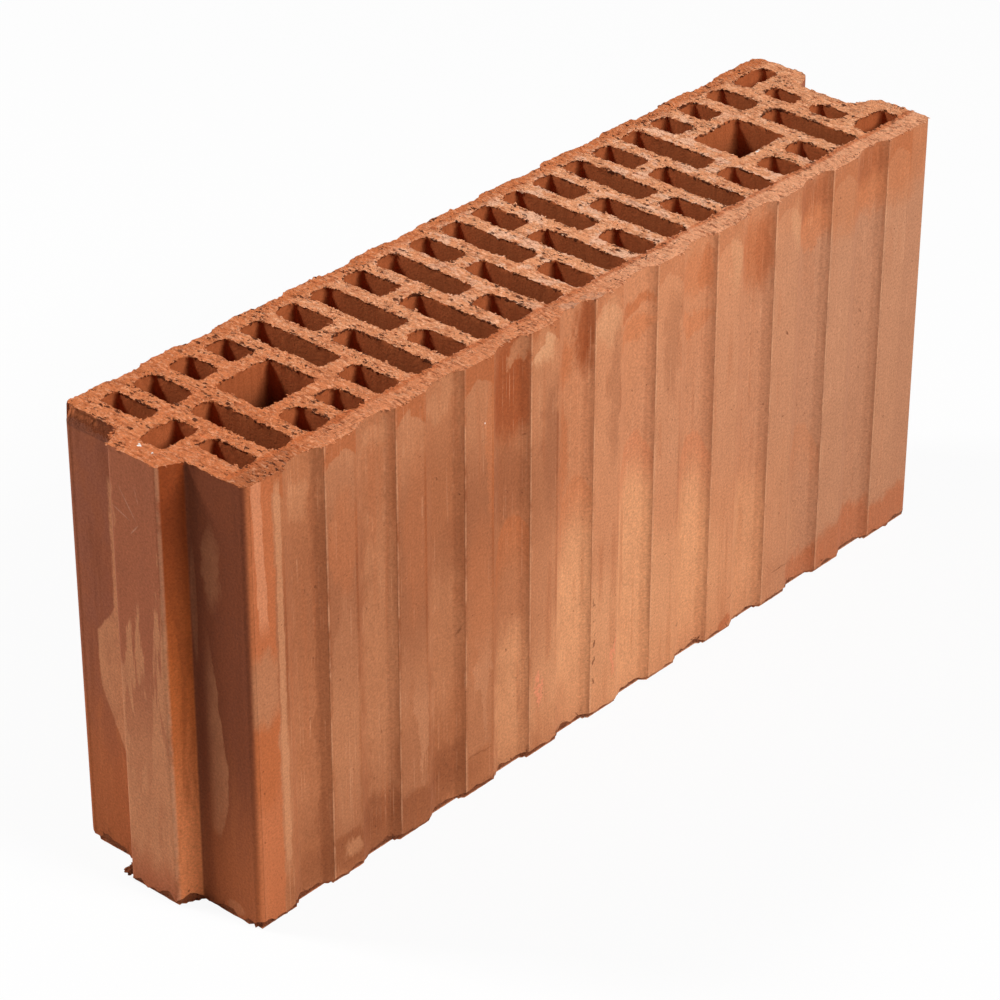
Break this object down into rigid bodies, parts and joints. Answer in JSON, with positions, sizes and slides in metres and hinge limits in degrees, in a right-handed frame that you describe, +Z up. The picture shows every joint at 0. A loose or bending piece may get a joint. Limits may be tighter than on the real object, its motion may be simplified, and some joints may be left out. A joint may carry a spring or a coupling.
{
  "type": "hollow clay brick",
  "caption": "Hollow fired-clay wall brick with ribbed faces, rows of upright slots, grip holes, and a tongue and groove on its ends.",
  "frame": {"origin": "middle of the foot of the brick's box, tongue counted in", "axes": "+Z up along the holes, +X along the length towards the groove, -Y the front ribbed face"},
  "size_m": [0.5124, 0.115, 0.238],
  "materials": {
    "fired_clay": "matt fired clay, rough on the cut faces"
  },
  "bodies": {
    "root": {"clay_brick": "fired_clay"}
  },
  "joints": []
}
